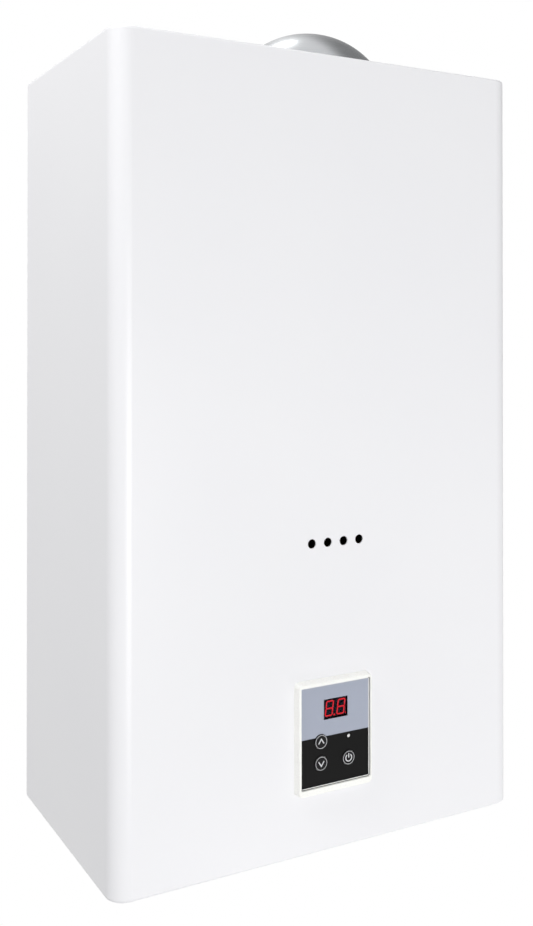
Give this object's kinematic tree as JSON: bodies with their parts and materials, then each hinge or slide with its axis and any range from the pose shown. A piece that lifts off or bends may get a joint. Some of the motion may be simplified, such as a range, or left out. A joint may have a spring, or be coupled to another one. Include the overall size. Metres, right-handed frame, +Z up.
{
  "type": "tankless gas water heater",
  "caption": "Wall-hung forced-exhaust gas water heater: white sheet-steel case, domed flue cap, sight holes, and a small panel with a digit display and round keys.",
  "frame": {"origin": "centre of the wall bolt pattern, on the wall plane behind the case", "axes": "+Z up, +Y into the wall, +X to the right when facing the front"},
  "size_m": [0.35, 0.2115, 0.6742],
  "materials": {
    "white_painted_steel": "satin powder coat",
    "galvanised_steel": "zinc-coated sheet",
    "plated_screw_steel": "bright zinc plate",
    "stainless_steel": "polished",
    "bare_steel": "ground",
    "copper": "bare copper",
    "brass": "machined brass",
    "cast_aluminium": "die cast",
    "white_plastic": "moulded",
    "printed_overlay": "printed film",
    "smoked_acrylic": "smoked",
    "black_plastic": "moulded",
    "grey_plastic": "moulded",
    "lamp_plastic": "clear",
    "circuit_board": "glass epoxy",
    "rubber": "moulded",
    "white_ceramic": "fired",
    "mica": "clear sheet"
  },
  "bodies": {
    "heater": {"front_cover": "white_painted_steel", "rear_chassis": "galvanised_steel", "top_hanger": "galvanised_steel", "bottom_hanger": "galvanised_steel", "support_channels": "galvanised_steel", "burner_tray": "galvanised_steel", "exhaust_hood": "galvanised_steel", "fan_inlet_box": "galvanised_steel", "fan_volute": "galvanised_steel", "fan_motor_plate": "galvanised_steel", "cover_screws": "plated_screw_steel", "flue_screws": "plated_screw_steel", "motor_screws": "plated_screw_steel", "flue_collar": "stainless_steel", "rain_cap": "stainless_steel", "rain_cap_legs": "stainless_steel", "burner_bars": "stainless_steel", "fan_motor": "bare_steel", "power_supply": "bare_steel", "gas_manifold": "bare_steel", "heat_exchanger_shell": "copper", "heat_exchanger_fins": "copper", "heat_exchanger_tubes": "copper", "return_caps": "copper", "cold_pipe": "copper", "hot_pipe": "copper", "water_inlet_fitting": "brass", "water_outlet_fitting": "brass", "gas_inlet_fitting": "brass", "drain_valve_body": "brass", "gas_injectors": "brass", "outlet_temp_sensor": "brass", "gas_valve_body": "cast_aluminium", "gas_pipe": "cast_aluminium", "overheat_thermostat": "cast_aluminium", "panel_bezel": "white_plastic", "panel_overlay": "printed_overlay", "display_lens": "smoked_acrylic", "display_module": "black_plastic", "key_switches": "black_plastic", "igniter_module": "black_plastic", "gas_valve_coil": "black_plastic", "flow_sensor_body": "black_plastic", "control_box": "grey_plastic", "air_pressure_switch": "grey_plastic", "indicator_light": "lamp_plastic", "display_board": "circuit_board", "flue_gasket": "rubber", "pressure_hose": "rubber", "cable_gland": "rubber", "electrodes": "white_ceramic", "sight_window": "mica"},
    "up_key": {"button_up": "black_plastic"},
    "down_key": {"button_down": "black_plastic"},
    "power_key": {"button_power": "black_plastic"},
    "fan_rotor": {"fan_shaft": "bare_steel", "fan_impeller": "stainless_steel"},
    "flow_turbine": {"flow_rotor": "grey_plastic"},
    "gas_plunger": {"gas_valve_plunger": "bare_steel"},
    "drain_handle": {"drain_knob": "black_plastic"}
  },
  "joints": [
    {"name": "up_press", "type": "slide", "parent": "heater", "child": "up_key", "axis": [0, 1, 0], "range_m": [0, 0.0006], "stiffness_N_per_m": 900},
    {"name": "down_press", "type": "slide", "parent": "heater", "child": "down_key", "axis": [0, 1, 0], "range_m": [0, 0.0006], "stiffness_N_per_m": 900},
    {"name": "power_press", "type": "slide", "parent": "heater", "child": "power_key", "axis": [0, 1, 0], "range_m": [0, 0.0006], "stiffness_N_per_m": 900},
    {"name": "fan_spin", "type": "hinge", "parent": "heater", "child": "fan_rotor", "pos_m": [-0.006, -0.1025, 0.227], "axis": [0, -1, 0], "continuous": true},
    {"name": "turbine_spin", "type": "hinge", "parent": "heater", "child": "flow_turbine", "pos_m": [0.146, -0.0545, -0.269], "axis": [0, 0, 1], "continuous": true},
    {"name": "plunger_lift", "type": "slide", "parent": "heater", "child": "gas_plunger", "axis": [0, 0, 1], "range_m": [0, 0.003], "stiffness_N_per_m": 500, "springref_m": -0.004},
    {"name": "drain_turn", "type": "hinge", "parent": "heater", "child": "drain_handle", "pos_m": [0.1, -0.0545, -0.315], "axis": [0, 0, -1], "range_deg": [0, 90]}
  ]
}
